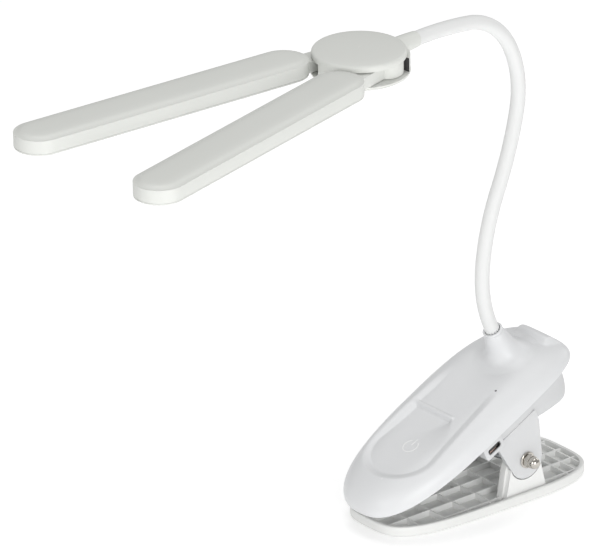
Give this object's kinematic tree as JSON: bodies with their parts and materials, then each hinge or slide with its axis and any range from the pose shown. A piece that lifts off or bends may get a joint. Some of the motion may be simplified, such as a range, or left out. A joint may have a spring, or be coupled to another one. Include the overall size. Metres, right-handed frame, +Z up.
{
  "type": "clip-on reading lamp",
  "caption": "Clip-on reading lamp: sprung clamp housing, flexible gooseneck, and a round hub carrying two folding light bars.",
  "frame": {"origin": "on the lower jaw's flat underside, on the clamp's middle plane, at the middle of the jaw's length", "axes": "+Z up from the underside, +X along the clamp from its mouth to its handles, +Y along the clamp pivot"},
  "size_m": [0.3512, 0.1139, 0.2811],
  "materials": {
    "base_plastic": "fine-textured light grey-white moulding",
    "head_plastic": "satin warm white moulding",
    "silicone_sleeve": "satin white silicone sleeve",
    "steel": "bright steel",
    "nickel": "nickel plate",
    "circuit_board": "solder mask over glass-fibre board",
    "cell": "laminated foil pouch",
    "copper": "tinned copper pad",
    "light_pipe": "smoked clear rod",
    "diffuser": "opal diffuser"
  },
  "bodies": {
    "lower_jaw": {"lower_jaw": "base_plastic", "pivot_bolt": "nickel", "cap_nut": "nickel", "washer_nut_side": "nickel", "washer_head_side": "nickel", "pivot_sleeve": "steel", "torsion_spring": "steel"},
    "upper_housing": {"top_shell": "base_plastic", "lower_tub": "base_plastic", "battery_cell": "cell", "control_board": "circuit_board", "port_board": "circuit_board", "charge_port": "nickel", "touch_sensor": "copper", "indicator_pipe": "light_pipe", "housing_screw_1": "steel", "housing_screw_2": "steel", "housing_screw_3": "steel", "housing_screw_4": "steel", "neck_base_fitting": "steel", "neck_lock_nut": "steel"},
    "neck_1": {"neck_sleeve_1": "silicone_sleeve", "neck_core_1": "steel"},
    "neck_2": {"neck_sleeve_2": "silicone_sleeve", "neck_core_2": "steel"},
    "neck_3": {"neck_sleeve_3": "silicone_sleeve", "neck_core_3": "steel"},
    "neck_4": {"neck_sleeve_4": "silicone_sleeve", "neck_core_4": "steel"},
    "neck_5": {"neck_sleeve_5": "silicone_sleeve", "neck_core_5": "steel"},
    "head": {"neck_sleeve_6": "silicone_sleeve", "neck_core_6": "steel", "hub_cover": "head_plastic", "hub_base": "head_plastic", "neck_head_ferrule": "steel", "arm_screw_left": "steel", "arm_screw_right": "steel", "hub_screw_1": "steel", "hub_screw_2": "steel", "hub_screw_3": "steel"},
    "arm_left": {"arm_left": "head_plastic", "bar_cover_left": "head_plastic", "led_strip_left": "circuit_board", "diffuser_left": "diffuser", "bar_screw_left_1": "steel", "bar_screw_left_2": "steel"},
    "arm_right": {"arm_right": "head_plastic", "bar_cover_right": "head_plastic", "led_strip_right": "circuit_board", "diffuser_right": "diffuser", "bar_screw_right_1": "steel", "bar_screw_right_2": "steel"}
  },
  "joints": [
    {"name": "clamp_hinge", "type": "hinge", "parent": "lower_jaw", "child": "upper_housing", "pos_m": [0.018, 0, 0.024], "axis": [0, 1, 0], "range_deg": [0, 32], "stiffness_Nm_per_rad": 0.6, "springref_deg": -45.84, "deforming": ["torsion_spring"]},
    {"name": "neck_bend_1", "type": "hinge", "parent": "upper_housing", "child": "neck_1", "pos_m": [0.01759, 0, 0.09113], "axis": [-0.0785, 0.9969, 0], "range_deg": [-25, 25]},
    {"name": "neck_bend_2", "type": "hinge", "parent": "neck_1", "child": "neck_2", "pos_m": [0.01037, -0.00057, 0.12874], "axis": [0.9928, 0.0781, -0.0906], "range_deg": [-25, 25]},
    {"name": "neck_bend_3", "type": "hinge", "parent": "neck_2", "child": "neck_3", "pos_m": [0.02118, 0.00028, 0.16962], "axis": [-0.0785, 0.9969, 0], "range_deg": [-25, 25]},
    {"name": "neck_bend_4", "type": "hinge", "parent": "neck_3", "child": "neck_4", "pos_m": [0.03453, 0.00133, 0.20987], "axis": [0.974, 0.0767, -0.213], "range_deg": [-25, 25]},
    {"name": "neck_bend_5", "type": "hinge", "parent": "neck_4", "child": "neck_5", "pos_m": [0.02791, 0.00081, 0.25085], "axis": [-0.0785, 0.9969, 0], "range_deg": [-25, 25]},
    {"name": "neck_bend_6", "type": "hinge", "parent": "neck_5", "child": "head", "pos_m": [-0.00276, -0.0016, 0.27129], "axis": [0.137, 0.0108, 0.9905], "range_deg": [-25, 25]},
    {"name": "arm_fold_left", "type": "hinge", "parent": "head", "child": "arm_left", "pos_m": [-0.07822, 0.0061, 0.28005], "axis": [0.0191, 0.0015, -0.9998], "range_deg": [-8, 75]},
    {"name": "arm_fold_right", "type": "hinge", "parent": "head", "child": "arm_right", "pos_m": [-0.07609, -0.02101, 0.28005], "axis": [-0.0191, -0.0015, 0.9998], "range_deg": [-8, 75]}
  ]
}
